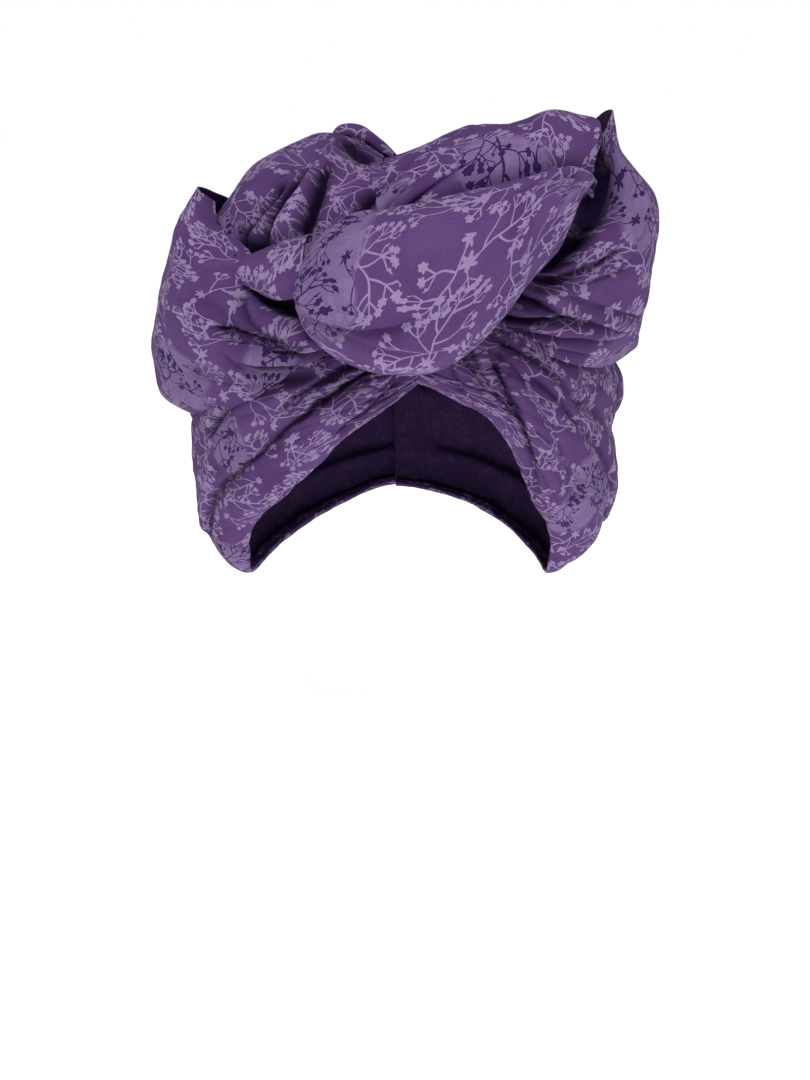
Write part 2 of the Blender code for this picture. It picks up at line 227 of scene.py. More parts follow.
PUFF_LEFT_FOLDS = (
    ((0.56, 0.17), (0.56, 0.14), (0.76, 0.10), 5.0, 3.0, 3.6, 0.7, 1.2),
    ((0.51, 0.08), (0.60, 0.13), (0.78, 0.07), 4.0, 3.0, 2.2, 0.6, 0.9),
    ((0.50, 0.04), (0.60, 0.02), (0.74, 0.00), 4.0, 5.0, 3.4, 0.0, 1.3),
    ((0.73, 0.21), (0.87, 0.15), (0.96, 0.05), 5.5, 5.0, 2.4, 0.8, 1.2),
    ((0.75, 0.14), (0.79, 0.10), (0.92, 0.02), 3.5, 3.0, 1.8, 0.5, 0.8),
    ((0.63, 0.19), (0.66, 0.16), (0.84, 0.09), 3.0, 2.5, 1.8, 0.5, 0.6),
    ((0.68, 0.24), (0.84, 0.24), (0.98, 0.13), 2.0, 3.0, 3.0, 0.4, 0.5),
    ((0.44, 0.18), (0.50, 0.14), (0.56, 0.13), 1.0, 2.5, 3.0, 0.3, 0.5),
    ((0.70, 0.36), (0.84, 0.30), (0.95, 0.22), 1.5, 2.0, 3.5, 0.3, 0.3),
    ((0.50, 0.09), (0.53, 0.11), (0.57, 0.16), 2.0, 2.0, 2.0, 0.3, 0.6),
    ((0.30, 0.34), (0.46, 0.38), (0.62, 0.40), 1.5, 2.5, 7.0, 0.0, 0.0),
    ((0.34, 0.60), (0.50, 0.66), (0.68, 0.70), 3.0, 3.0, 4.0, 0.4, 0.5),
)
SWIRL_LEFT_FOLDS = (
    ((0.69, 0.37), (0.63, 0.28), (0.53, 0.18), 7.0, 8.0, 3.2, -0.5, 1.4),
    ((0.64, 0.38), (0.47, 0.24), (0.31, 0.12), 4.0, 6.0, 2.4, -0.5, 1.4),
    ((0.47, 0.31), (0.42, 0.24), (0.10, 0.14), 4.0, 7.0, 2.4, -0.5, 1.4),
    ((0.14, 0.14), (0.15, 0.08), (0.24, 0.08), 6.0, 6.0, 5.0, 0.0, 1.4),
    ((0.56, 0.41), (0.47, 0.37), (0.31, 0.28), 2.0, 2.5, 2.4, -0.4, 0.5),
    ((0.07, 0.05), (0.16, 0.18), (0.30, 0.22), 5.5, 2.0, 2.2, -0.5, 1.0),
    ((0.85, 0.60), (0.87, 0.52), (0.91, 0.52), 4.0, 4.0, 3.6, 0.0, 1.4),
    ((0.90, 0.21), (0.91, 0.24), (0.96, 0.28), 6.0, 6.0, 3.0, 0.0, 1.4),
    ((0.60, 0.14), (0.72, 0.20), (0.90, 0.24), 2.5, 2.5, 2.2, -0.4, 0.5),
)
ROLL_TOP_FOLDS = (
    ((0.10, 0.36), (0.45, 0.31), (0.88, 0.27), 1.5, 2.0, 5.0, 0.0, 0.0),
    ((0.96, 0.50), (0.94, 0.30), (0.97, 0.12), 3.0, 2.5, 2.4, 0.5, 0.9),
    ((0.03, 0.12), (0.14, 0.24), (0.34, 0.28), 3.5, 1.0, 3.0, 0.5, 0.4),
    ((0.03, 0.22), (0.12, 0.34), (0.26, 0.42), 3.0, 1.0, 2.6, 0.5, 0.3),
    ((0.03, 0.40), (0.14, 0.52), (0.34, 0.60), 3.0, 1.5, 3.0, 0.5, 0.4),
)
KNOT_FOLDS = (
    ((0.22, 0.62), (0.28, 0.64), (0.36, 0.60), 3.5, 2.0, 2.6, 0.6, 0.9),
    ((0.23, 0.55), (0.25, 0.56), (0.30, 0.59), 1.5, 1.5, 2.6, 0.3, 0.2),
    ((0.14, 0.60), (0.28, 0.70), (0.45, 0.74), 2.5, 1.0, 2.6, 0.5, 0.5),
    ((0.27, 0.09), (0.21, 0.11), (0.19, 0.25), 2.5, 1.0, 1.8, 0.4, 0.5),
    ((0.62, 0.28), (0.70, 0.22), (0.80, 0.30), 1.0, 2.5, 2.6, 0.3, 0.5),
)
CREST_LEFT_FOLDS = (
    ((0.34, 0.08), (0.50, 0.12), (0.64, 0.14), 4.0, 4.0, 3.0, 0.0, 1.4),
    ((0.30, 0.22), (0.44, 0.30), (0.80, 0.20), 2.0, 2.0, 2.0, 0.5, 0.7),
)

# At how many points a fold's line is worked out, and how sharply the sides of its valley rise
FOLD_STEPS = 60
VALLEY_POWER = 1.4

# The cloth beside a valley: how high it rises as a share of the depth, how many widths the rise and
# the lapping reach, and the share of the rise that is left where nothing laps
LAP_HEIGHT = 0.42
LAP_REACH = 3.4
LAP_SLIDE = 1.6
UNLAPPED_HEIGHT = 0.6

# The shade painted in a crease: the depth at which it is full, how it spreads in widths on the
# lapped side and elsewhere, and how sharply it fades
FULL_DEPTH = 4.5
ABOVE_SPREAD = 0.45
BELOW_SPREAD = 1.5
CREASE_POWER = 1.5

# Places where the print is pale: share along, share across, and radius
PALE_COLUMNS = ("along", "across", "radius")
PALE_PLACES = {
    "knot": ((0.21, 0.24, 20.0), (0.17, 0.44, 16.0)),
    "roll_top": ((0.44, 0.22, 13.0),),
    "puff_left": ((0.74, 0.15, 12.0), (0.80, 0.44, 18.0)),
    "band_left": ((0.40, 0.55, 15.0), (0.52, 0.86, 14.0)),
    "band_right": ((0.48, 0.78, 18.0), (0.70, 0.40, 16.0)),
    "loop_right": ((0.40, 0.24, 12.0),),
}

# Gathers: how many pleats, how deep, what share of the cloth they reach over, how far they wander,
# how much slack the cloth has, the seed, whether they are spaced along the piece or across it, and
# the share of the piece's length that they start and end at
GATHER_COLUMNS = ("Count", "Depth", "Reach", "Wander", "Slack", "Seed", "Spaced Along", "From", "To")
BAND_RIGHT_GATHERS = (7.0, 2.0, 0.62, 1.8, 1.5, 3.0, False, -0.2, 0.7)
BAND_LEFT_GATHERS = (7.0, 2.0, 0.62, 1.8, 1.5, 5.0, False, -0.2, 0.7)
LOOP_RIGHT_GATHERS = (13.0, 1.5, 0.34, 2.2, 1.5, 8.0, True, 0.42, 1.2)
PUFF_LEFT_GATHERS = (16.0, 1.3, 0.28, 2.2, 1.5, 13.0, True, 0.45, 1.2)
SWIRL_LEFT_GATHERS = (6.0, 0.8, 0.30, 2.0, 1.0, 21.0, True, 0.20, 1.2)
ROLL_TOP_GATHERS = (7.0, 1.2, 0.28, 1.6, 1.3, 34.0, False, -0.2, 0.5)
KNOT_GATHERS = (8.0, 1.2, 0.20, 1.2, 0.9, 55.0, False, -0.2, 0.5)
TUCK_LEFT_GATHERS = (5.0, 0.5, 0.8, 0.8, 0.5, 89.0, False, -0.2, 1.2)
CREST_LEFT_GATHERS = (5.0, 0.8, 0.5, 0.8, 0.8, 144.0, True, -0.2, 1.2)
CAP_GATHERS = (0.0, 0.0, 1.0, 0.0, 0.6, 7.0, False, 0.0, 1.0)

# What all gathers share: the patches to a piece in which they drift and differ in depth, the share of
# its length over which they fade in and out, how full their ridges are, the level between ridges and
# valleys, and how narrow the shade painted in the valleys is
DRIFT_SCALE = 3.2
UNEVEN_SCALE = 6.5
GATHER_FADE = 0.16
RIDGE_POWER = 0.55
RIDGE_MIDDLE = 0.66
CLEFT_POWER = 4.0

# Slack: its waves and crumples to the metre, and how far they range in millimetres for a slack of 1
SWAY_SCALE = 26.0
SWAY = 2.2
CRUMPLE_SCALE = 85.0
CRUMPLE = 0.9

# Colours of the print, and of the shade painted on the wrong side and in creases, as linear light
GROUND = (0.106, 0.052, 0.170)
GROUND_DEEP = (0.083, 0.036, 0.136)
WASH = (0.190, 0.125, 0.268)
LIGHT_SPRIG = (0.272, 0.195, 0.352)
DARK_SPRIG = (0.034, 0.014, 0.080)
# The wrong side is plain, and painted dark as shade for the hollows inside the cloth
SHADED_WRONG_SIDE = (0.034, 0.015, 0.062)
# Near-black painted into creases and between pleats as shade
CREASE_SHADE = (0.006, 0.001, 0.018)

# Each layer of sprigs: its cells to the metre and its seed
SPRIG_COLUMNS = ("cells", "seed")
LIGHT_LAYERS = ((27.0, 1.3), (31.0, 4.7))
DARK_LAYERS = ((26.0, 8.1), (33.0, 2.9))

# A sprig, in shares of its cell: half its line's width, the foot and head of its stem, how far it bows,
# the squared height at which the bow is nought, and the radius of the flower at its foot
SPRIG_LINE = 0.0105
STEM_FOOT = -0.44
STEM_HEAD = 0.24
BOW = 2.2
BOW_REST = 0.06
FOOT_FLOWER = 0.098

# Its branches: how far apart they are, how far below the middle the lowest spring, how they lean and
# sweep up, how far the lowest reach and how much shorter the next are, how broad they are against the
# stem, measured upright, and which way their tips point, out and up
BRANCH_STEP = 0.30
BRANCH_DROP = 0.14
BRANCH_LEAN = 0.55
BRANCH_SWEEP = 2.0
BRANCH_REACH = 0.185
BRANCH_SHORTER = 0.05
BRANCH_BREADTH = 1.3
TIP_OUT = 0.64
TIP_UP = 0.77

# The florets at each tip: the turn between them in radians, their stalks and their radius
FLORET_TURN = 0.72
STALK = 0.165
FLORET = 0.050

# The petals of every flower, and how deep they are cut in a floret and in the flower at the foot
PETALS = 6.0
FLORET_CUT = 0.14
FOOT_CUT = 0.26

# How the print wanders on the cloth: patches to the metre, and how far in metres
WANDER_SCALE = 42.0
WANDER = 0.014

# The washed patches: their scale, the noise values between which they begin, the pull of the pale
# places on them, how strong their wash is, and how far they clear the light sprigs
PATCH_SCALE = 15.0
PATCH_EDGE = (0.61, 0.67)
PALE_PULL = 0.30
WASH_SHARE = 0.85
CLEARED_SHARE = 0.75

# The mottling of the ground: its scale, and the noise values between which it turns
MOTTLE_SCALE = 38.0
MOTTLE_EDGE = (0.35, 0.65)

# How much the threads and the grain lighten the cloth over its darkest, and how much shade is painted
# into creases and pleats and onto the wrong side of the cloth
THREAD_SHADE = 0.20
GRAIN_SHADE = 0.40
LEAST_SHADE = 0.70
PLEAT_SHADE = 0.8
DARKEST_PAINTED_SHADE = 0.97
SHADED_WRONG_SIDE_SHARE = 0.94

# The finish of the cotton, the scales of its threads and grain, and the depth of its weave in metres
ROUGHNESS = 0.92
SHEEN = 0.02
SHEEN_ROUGHNESS = 0.5
SPECULAR = 0.08
THREAD_SCALE = 470.0
GRAIN_SCALE = 900.0
WEAVE_DEPTH = 0.00012
WEAVE_STRENGTH = 0.5

# The view: where its eye is, in metres, how far it is turned up from straight down, in degrees, and
# its lens and sensor in millimetres
EYE = (0, -0.555, 0.033)
EYE_TILT = 70
LENS = 40
SENSOR = 36

# The studio: a glowing floor, the world's light on the cloth, what the view sees of it besides, and
# the two lamps, with places in metres and powers in watts
FLOOR_SIZE = 30
FLOOR_LEVEL = -0.30
FLOOR_GLOW = 0.80
WORLD_LIGHT = 0.22
WORLD_SEEN = 0.78
LAMP_COLUMNS = ("name", "place", "target", "size", "power")
LAMPS = (
    ("key", (-0.15, -0.8, 1.0), (0, -0.05, -0.05), 0.35, 12),
    ("fill", (0.8, -0.7, 0.3), (0, -0.05, -0.08), 0.6, 1.5),
)


def narrowing(level):
    """The hollow's size at each level, as a share of its size at the widest level."""
    height = np.clip((level - WIDEST_LEVEL) / -WIDEST_LEVEL, 0, 1)
    above = np.maximum(0, 1 - height**CROWN_ROUNDNESS) ** (1 / CROWN_ROUNDNESS)
    below = 1 - LOWER_TAPER * ((level - WIDEST_LEVEL) / WIDEST_LEVEL) ** 2
    return np.where(level > WIDEST_LEVEL, above, below)


def off_hollow(azimuth, level, off):
    """Points that stand off the hollow's side."""
    turn = np.radians(azimuth)
    depth = np.where(np.cos(turn) > 0, HOLLOW_FRONT, HOLLOW_BACK)
    size = narrowing(level)
    side = (HOLLOW_SIDE * size + off) * np.sin(turn)
    return np.stack([side, -(depth * size + off) * np.cos(turn), level], axis=-1)


def through(rows, shares):
    """The smooth curve through the rows, read at each share of the way from first to last."""
    rows = np.array(rows, float)
    place = shares * (len(rows) - 1)
    first = np.minimum(place.astype(int), len(rows) - 2)
    part = (place - first).reshape(-1, *[1] * (rows.ndim - 1))
    before = rows[np.maximum(first - 1, 0)]
    start = rows[first]
    end = rows[first + 1]
    after = rows[np.minimum(first + 2, len(rows) - 1)]
    return 0.5 * (
        2 * start
        + (end - before) * part
        + (2 * before - 5 * start + 4 * end - after) * part**2
        + (3 * start - before - 3 * end + after) * part**3
    )


def rolled_section(rows):
    return lambda shares: through(rows, shares)


def band_section(rows):
    def section(shares):
        row = dict(zip(BAND_COLUMNS, through(rows, shares).T))
        parts = [off_hollow(row["azimuth"], row[p], row[p + "_off"]) for p in ("top", "middle", "hem")]
        return np.stack(parts, axis=1)

    return section


def on_surface(section, along, across, curls):
    """Points where shares along and across meet; a curl carries the surface past an edge."""
    inner, crest, outer = np.moveaxis(section(along), 1, 0)
    angle = (-curls[0] + across * (math.pi + curls[0] + curls[1]))[:, None]
    middle = (inner + outer) / 2
    return middle - (outer - inner) / 2 * np.cos(angle) + (crest - middle) * np.sin(angle)


def surface_grid(section, curls, counts, first, last):
    """Rows of points over the whole surface, from the first share across to the last."""
    along_count, across_count = counts
    along, across = np.meshgrid(
        np.linspace(0, 1, along_count), np.linspace(first, last, across_count), indexing="ij"
    )
    grid = on_surface(section, along.ravel(), across.ravel(), curls)
    return grid.reshape(along_count, across_count, 3)


def unit_normals(grid, outward):
    normals = np.cross(np.gradient(grid, axis=0), np.gradient(grid, axis=1))
    normals /= np.linalg.norm(normals, axis=2, keepdims=True) + 1e-9
    middle = normals[grid.shape[0] // 2, grid.shape[1] // 2]
    return normals if np.dot(middle, outward) > 0 else -normals


def folded(grid, normals, section, curls, folds):
    """The grid with its folds: each presses a valley in, and lifts and laps the cloth on one side; and
    the shade painted along each fold's valley.
    """
    steps = np.linspace(0, 1, FOLD_STEPS)
    points = grid.reshape(-1, 3)
    facing = normals.reshape(-1, 3)
    moved = points.copy()
    crease_shades = np.zeros(len(points))
    for fold in folds:
        fold = dict(zip(FOLD_COLUMNS, fold))
        start, bend, end = (np.array(fold[place])[:, None] for place in ("start", "bend", "end"))
        place = (1 - steps) ** 2 * start + 2 * steps * (1 - steps) * bend + steps**2 * end
        line = on_surface(section, place[0], place[1], curls)
        apart = (points**2).sum(1)[:, None] + (line**2).sum(1)[None] - 2 * points @ line.T
        nearest = apart.argmin(axis=1)
        away = points - line[nearest]
        distance = np.linalg.norm(away, axis=1) + 1e-6
        beside = np.cross(facing, np.gradient(line, axis=0)[nearest])
        beside /= np.linalg.norm(beside, axis=1, keepdims=True) + 1e-9
        rise = beside[:, 2].mean()
        beside *= np.sign(rise if abs(rise) > 0.05 else beside[len(beside) // 2, 2])
        side = (away * beside).sum(1) / distance * np.sign(fold["lap"] or 1)
        depth = fold["start_depth"] + (fold["end_depth"] - fold["start_depth"]) * steps[nearest]
        near = distance / fold["width"]
        lap = abs(fold["lap"])
        steeper = near * np.where(side > 0, 1 + lap, 1)
        height = -np.exp(-(steeper**VALLEY_POWER))
        lifted = LAP_HEIGHT * np.clip(side, 0, 1) * np.exp(-((near / LAP_REACH) ** 2))
        height += lifted * (1.0 if lap else UNLAPPED_HEIGHT) * (1 + lap)
        reach = lap * fold["width"] * np.clip(side, 0, 1) * np.exp(-((near / LAP_SLIDE) ** 2))
        toward = -beside * np.sign(fold["lap"] or 1)
        moved += facing * (depth * height)[:, None] + toward * reach[:, None]
        # The shade painted along the fold's valley
        spread = np.where((side > 0) & (lap > 0), ABOVE_SPREAD, BELOW_SPREAD)
        strength = np.clip(depth / FULL_DEPTH, 0, 1) * fold["shade"]
        crease_shades = np.maximum(crease_shades, strength * np.exp(-((near / spread) ** CREASE_POWER)))
    return moved.reshape(grid.shape), crease_shades.reshape(grid.shape[:2])


def pale_shares(grid, section, curls, places):
    """How much each point lies in the pale places, from 0 to 1."""
    pale = np.zeros(grid.shape[:2])
    for place in places:
        place = dict(zip(PALE_COLUMNS, place))
        middle = on_surface(section, np.array([place["along"]]), np.array([place["across"]]), curls)
        distance = np.linalg.norm(grid - middle[0], axis=2)
        pale = np.maximum(pale, np.exp(-((distance / place["radius"]) ** 2)))
    return pale


def cloth_lengths(grid):
    """Each point's share of the cloth along and across, by arc length, and the cloth's nominal size."""
    shares = []
    sizes = []
    for axis in (0, 1):
        steps = np.linalg.norm(np.diff(grid, axis=axis), axis=2)
        travelled = np.cumsum(steps, axis=axis)
        travelled = np.insert(travelled, 0, 0, axis=axis)
        whole = travelled.max(axis=axis, keepdims=True)
        shares.append(travelled / whole)
        sizes.append(np.percentile(whole, NOMINAL_PERCENTILE))
    return shares, sizes


def turned_edges(grid, normals):
    """The grid with both edges folded in: each turns round a small radius and runs back."""
    whole = grid
    for side in (0, 1):
        first, step = (-1, -1) if side else (0, 1)
        edge = grid[:, first]
        normal = normals[:, first]
        out = edge - grid[:, first + 2 * step]
        out /= np.linalg.norm(out, axis=1, keepdims=True)
        columns = []
        for turn in np.radians(EDGE_TURN):
            away = out * math.sin(turn) - normal * (1 - math.cos(turn))
            columns.append(edge + EDGE_RADIUS * away)
        for back in EDGE_RETURN:
            column = first + back * step
            columns.append(grid[:, column] - normals[:, column] * 2 * EDGE_RADIUS)
        added = np.stack(columns, axis=1)
        whole = np.concatenate([whole, added] if side else [added[:, ::-1], whole], axis=1)
    return whole


def padded_columns(values, step):
    """Shares across, carried on past the edges over the turned columns."""
    for side in (0, 1):
        edge = values[:, -1:] if side else values[:, :1]
        sign = 1 if side else -1
        added = edge + sign * step * np.arange(1, EDGE_COLUMNS + 1)[None, :]
        values = np.concatenate([values, added] if side else [added[:, ::-1], values], axis=1)
    return values


def carried(values):
    """Values carried on unchanged over the turned columns."""
    for side in (0, 1):
        edge = np.repeat(values[:, -1:] if side else values[:, :1], EDGE_COLUMNS, axis=1)
        values = np.concatenate([values, edge] if side else [edge, values], axis=1)
    return values


def cloth_mesh(name, grid, outward, shares, sizes, turned, shades):
    """A mesh of the grid, with its cloth lengths as UVs and as attributes for the gathers, and its painted
    shade and pale places as attributes for the cloth.
    """
    rows, columns = grid.shape[:2]
    corner = (np.arange(rows - 1)[:, None] * columns + np.arange(columns - 1)[None, :]).ravel()
    faces = np.stack([corner, corner + columns, corner + columns + 1, corner + 1], axis=1)
    i, j = rows // 2, columns // 2
    facing = np.cross(grid[i + 1, j] - grid[i, j], grid[i, j + 1] - grid[i, j])
    if np.dot(facing, outward) < 0:
        faces = faces[:, ::-1]
    mesh = bpy.data.meshes.new(name)
    mesh.from_pydata((grid.reshape(-1, 3) * MM).tolist(), [], faces.tolist())
    along, across = shares
    lengths = np.stack([along * sizes[0], across * sizes[1]], axis=-1).reshape(-1, 2) * MM
    lengths = lengths @ np.array(
        ((math.cos(turned), math.sin(turned)), (-math.sin(turned), math.cos(turned)))
    )
    uv = mesh.uv_layers.new(name="cloth")
    corners = np.empty(len(mesh.loops), np.int32)
    mesh.loops.foreach_get("vertex_index", corners)
    uv.data.foreach_set("uv", lengths[corners].astype(np.float32).ravel())
    crease_shades, pale = shades
    layers = (("along", along), ("across", across), ("crease_shade", crease_shades), ("pale", pale))
    for attribute, values in layers:
        layer = mesh.attributes.new(attribute, "FLOAT", "POINT")
        layer.data.foreach_set("value", np.clip(values, 0, 1).astype(np.float32).ravel())
    mesh.shade_smooth()
    return mesh


class Tree:
    """Adds and joins the nodes of one node tree."""

    def __init__(self, tree):
        self.tree = tree

    def node(self, kind, *values, output=0, **settings):
        node = self.tree.nodes.new(kind)
        for setting, value in settings.items():
            setattr(node, setting, value)
        for socket, value in zip(node.inputs, values):
            self.put(value, socket)
        return node.outputs[output]

    def put(self, value, socket):
        if value is None:
            return
        if isinstance(value, bpy.types.NodeSocket):
            self.tree.links.new(value, socket)
        else:
            socket.default_value = value

    def math(self, operation, *values):
        return self.node("ShaderNodeMath", *values, operation=operation)

    def distance(self, ahead, aside):
        squares = [self.math("MULTIPLY", value, value) for value in (ahead, aside)]
        return self.math("SQRT", self.math("ADD", *squares))


def gathers_tree():
    """Geometry nodes: ridged pleats that fade away from the gathered edge, and soft slack; the shade
    painted between the pleats is stored on the points.
    """
    tree = bpy.data.node_groups.new("gathers", "GeometryNodeTree")
    interface = tree.interface
    interface.new_socket("Geometry", in_out="OUTPUT", socket_type="NodeSocketGeometry")
    interface.new_socket("Geometry", in_out="INPUT", socket_type="NodeSocketGeometry")
    for column in GATHER_COLUMNS:
        kind = "NodeSocketBool" if column == "Spaced Along" else "NodeSocketFloat"
        interface.new_socket(column, in_out="INPUT", socket_type=kind)
    interface.new_socket("Cloth", in_out="INPUT", socket_type="NodeSocketMaterial")
    t = Tree(tree)
    given = tree.nodes.new("NodeGroupInput").outputs
    result = tree.nodes.new("NodeGroupOutput")
    along = t.node("GeometryNodeInputNamedAttribute", "along", data_type="FLOAT")
    across = t.node("GeometryNodeInputNamedAttribute", "across", data_type="FLOAT")
    spaced = t.node("GeometryNodeSwitch", given["Spaced Along"], across, along, input_type="FLOAT")
    run = t.node("GeometryNodeSwitch", given["Spaced Along"], along, across, input_type="FLOAT")
    place = t.node("ShaderNodeCombineXYZ", spaced, run, given["Seed"])
    drift = t.node("ShaderNodeTexNoise", place, None, DRIFT_SCALE, 1.5)
    drift = t.math("SUBTRACT", drift, 0.5)
    phase = t.math("MULTIPLY", spaced, given["Count"])
    wander = t.math("MULTIPLY", t.math("MULTIPLY", drift, given["Wander"]), 4.0)
    phase = t.math("ADD", phase, wander)
    ridge = t.math("ABSOLUTE", t.math("SINE", t.math("MULTIPLY", phase, math.pi)))
    uneven = t.node("ShaderNodeTexNoise", place, None, UNEVEN_SCALE, 1.0)
    uneven = t.math("MULTIPLY", t.math("SUBTRACT", uneven, 0.25), 2.6)
    fade = t.math("SUBTRACT", 1.0, t.math("DIVIDE", run, given["Reach"]))
    fade = t.math("POWER", t.math("MAXIMUM", fade, 0.0), 0.8)
    opened = t.math("ADD", given["From"], GATHER_FADE)
    opens = t.node("ShaderNodeMapRange", along, given["From"], opened, 0.0, 1.0)
    closing = t.math("SUBTRACT", given["To"], GATHER_FADE)
    closes = t.node("ShaderNodeMapRange", along, closing, given["To"], 1.0, 0.0)
    fade = t.math("MULTIPLY", t.math("MULTIPLY", fade, opens), t.math("MULTIPLY", closes, uneven))
    deep = t.math("MULTIPLY", fade, given["Depth"])
    raised = t.math("SUBTRACT", t.math("POWER", ridge, RIDGE_POWER), RIDGE_MIDDLE)
    pleats = t.math("MULTIPLY", raised, deep)
    # Shade painted between the pleats, darkest deep in each valley, stored on the points for the cloth's
    # colour
    valley = t.math("POWER", t.math("SUBTRACT", 1.0, ridge), CLEFT_POWER)
    valley = t.math("MULTIPLY", valley, t.math("MULTIPLY", deep, 0.33))
    streaked = t.math("MULTIPLY", phase, 0.55)
    streak = t.node("ShaderNodeCombineXYZ", streaked, t.math("MULTIPLY", run, 2.2), given["Seed"])
    streak = t.node("ShaderNodeTexNoise", streak, None, 1.0, 2.0)
    streak = t.math("MULTIPLY", t.math("SUBTRACT", streak, 0.5), t.math("MULTIPLY", given["Depth"], 1.1))
    streak = t.math("MULTIPLY", streak, t.math("SUBTRACT", 1.0, t.math("MULTIPLY", run, 0.9)))
    pleats = t.math("ADD", pleats, streak)
    seeded = t.node("ShaderNodeCombineXYZ", given["Seed"], 0.0, 0.0)
    spot = t.node("GeometryNodeInputPosition")
    spot = t.node("ShaderNodeVectorMath", spot, seeded, operation="ADD")
    sway = t.node("ShaderNodeTexNoise", spot, None, SWAY_SCALE, 2.0)
    sway = t.math("MULTIPLY", t.math("SUBTRACT", sway, 0.5), SWAY)
    slack = t.math("MULTIPLY", sway, given["Slack"])
    crumple = t.node("ShaderNodeTexNoise", spot, None, CRUMPLE_SCALE, 1.0)
    crumple = t.math("MULTIPLY", t.math("SUBTRACT", crumple, 0.5), CRUMPLE)
    crumple = t.math("MULTIPLY", crumple, given["Slack"])
    height = t.math("ADD", t.math("ADD", pleats, slack), crumple)
    height = t.math("MULTIPLY", height, MM)
    push = t.node("ShaderNodeVectorMath", operation="SCALE")
    scale = push.node
    tree.links.new(t.node("GeometryNodeInputNormal"), scale.inputs[0])
    tree.links.new(height, scale.inputs["Scale"])
    moved = t.node("GeometryNodeSetPosition", given["Geometry"])
    tree.links.new(push, moved.node.inputs["Offset"])
    real = t.node("GeometryNodeRealizeInstances", moved)
    kept = t.node("GeometryNodeStoreNamedAttribute", real, data_type="FLOAT", domain="POINT")
    kept.node.inputs["Name"].default_value = "pleat_painted_shade"
    tree.links.new(valley, kept.node.inputs["Value"])
    dressed = t.node("GeometryNodeSetMaterial", kept)
    tree.links.new(given["Cloth"], dressed.node.inputs["Material"])
    tree.links.new(dressed, result.inputs["Geometry"])
    return tree


def gathered(mesh, name, gathers, cloth):
    """The mesh with the gathers tree's result, as a plain mesh object."""
    raw = bpy.data.objects.new(name + "_flat", mesh)
    bpy.context.scene.collection.objects.link(raw)
    modifier = raw.modifiers.new("gathers", "NODES")
    modifier.node_group = gathers_group
    values = dict(zip(GATHER_COLUMNS, gathers), Cloth=cloth)
    for item in gathers_group.interface.items_tree:
        if item.name in values:
            modifier[item.identifier] = values[item.name]
    bpy.context.view_layer.update()
    evaluated = raw.evaluated_get(bpy.context.evaluated_depsgraph_get())
    plain = bpy.data.meshes.new_from_object(evaluated)
    bpy.data.objects.remove(raw)
    plain.name = name
    if not plain.materials:
        plain.materials.append(cloth)
    piece = bpy.data.objects.new(name, plain)
    bpy.context.scene.collection.objects.link(piece)
    return piece


def thickened(piece):
    """Gives the piece its layer of cotton; the vertex group marks the wrong side of the cloth."""
    piece.vertex_groups.new(name="wrong_side")
    wall = piece.modifiers.new("layer", "SOLIDIFY")
    wall.shell_vertex_group = "wrong_side"
    wall.thickness = CLOTH * MM
    wall.offset = -1


def flower(t, ahead, aside, cut, radius):
    """The mask of a flower round the place where ahead and aside are nought."""
    away = t.distance(ahead, aside)
    petals = t.math("COSINE", t.math("MULTIPLY", t.math("ARCTAN2", aside, ahead), PETALS))
    petals = t.math("ADD", t.math("MULTIPLY", petals, cut), 1 - cut)
    return t.math("LESS_THAN", away, t.math("MULTIPLY", petals, radius))


def umbel_group():
    """Shader nodes: three florets on short stalks, from a place along and across their direction."""
    tree = bpy.data.node_groups.new("umbel", "ShaderNodeTree")
    interface = tree.interface
    interface.new_socket("Mask", in_out="OUTPUT", socket_type="NodeSocketFloat")
    for name in ("Along", "Across", "Line", "Stalk", "Floret"):
        interface.new_socket(name, in_out="INPUT", socket_type="NodeSocketFloat")
    t = Tree(tree)
    given = tree.nodes.new("NodeGroupInput").outputs
    result = tree.nodes.new("NodeGroupOutput")
    along, across = given["Along"], given["Across"]
    reach = t.distance(along, across)
    turn = t.math("ARCTAN2", across, along)
    ray = t.math("ROUND", t.math("DIVIDE", turn, FLORET_TURN))
    ray = t.math("MINIMUM", t.math("MAXIMUM", ray, -1.0), 1.0)
    turn = t.math("SUBTRACT", turn, t.math("MULTIPLY", ray, FLORET_TURN))
    forward = t.math("MULTIPLY", reach, t.math("COSINE", turn))
    aside = t.math("ABSOLUTE", t.math("MULTIPLY", reach, t.math("SINE", turn)))
    stalk = t.math("LESS_THAN", aside, t.math("MULTIPLY", given["Line"], 0.8))
    stalk = t.math("MULTIPLY", stalk, t.math("GREATER_THAN", forward, 0.0))
    stalk = t.math("MULTIPLY", stalk, t.math("LESS_THAN", forward, given["Stalk"]))
    past_stalk = t.math("SUBTRACT", forward, given["Stalk"])
    floret = flower(t, past_stalk, aside, FLORET_CUT, given["Floret"])
    tree.links.new(t.math("MAXIMUM", stalk, floret), result.inputs[0])
    return tree


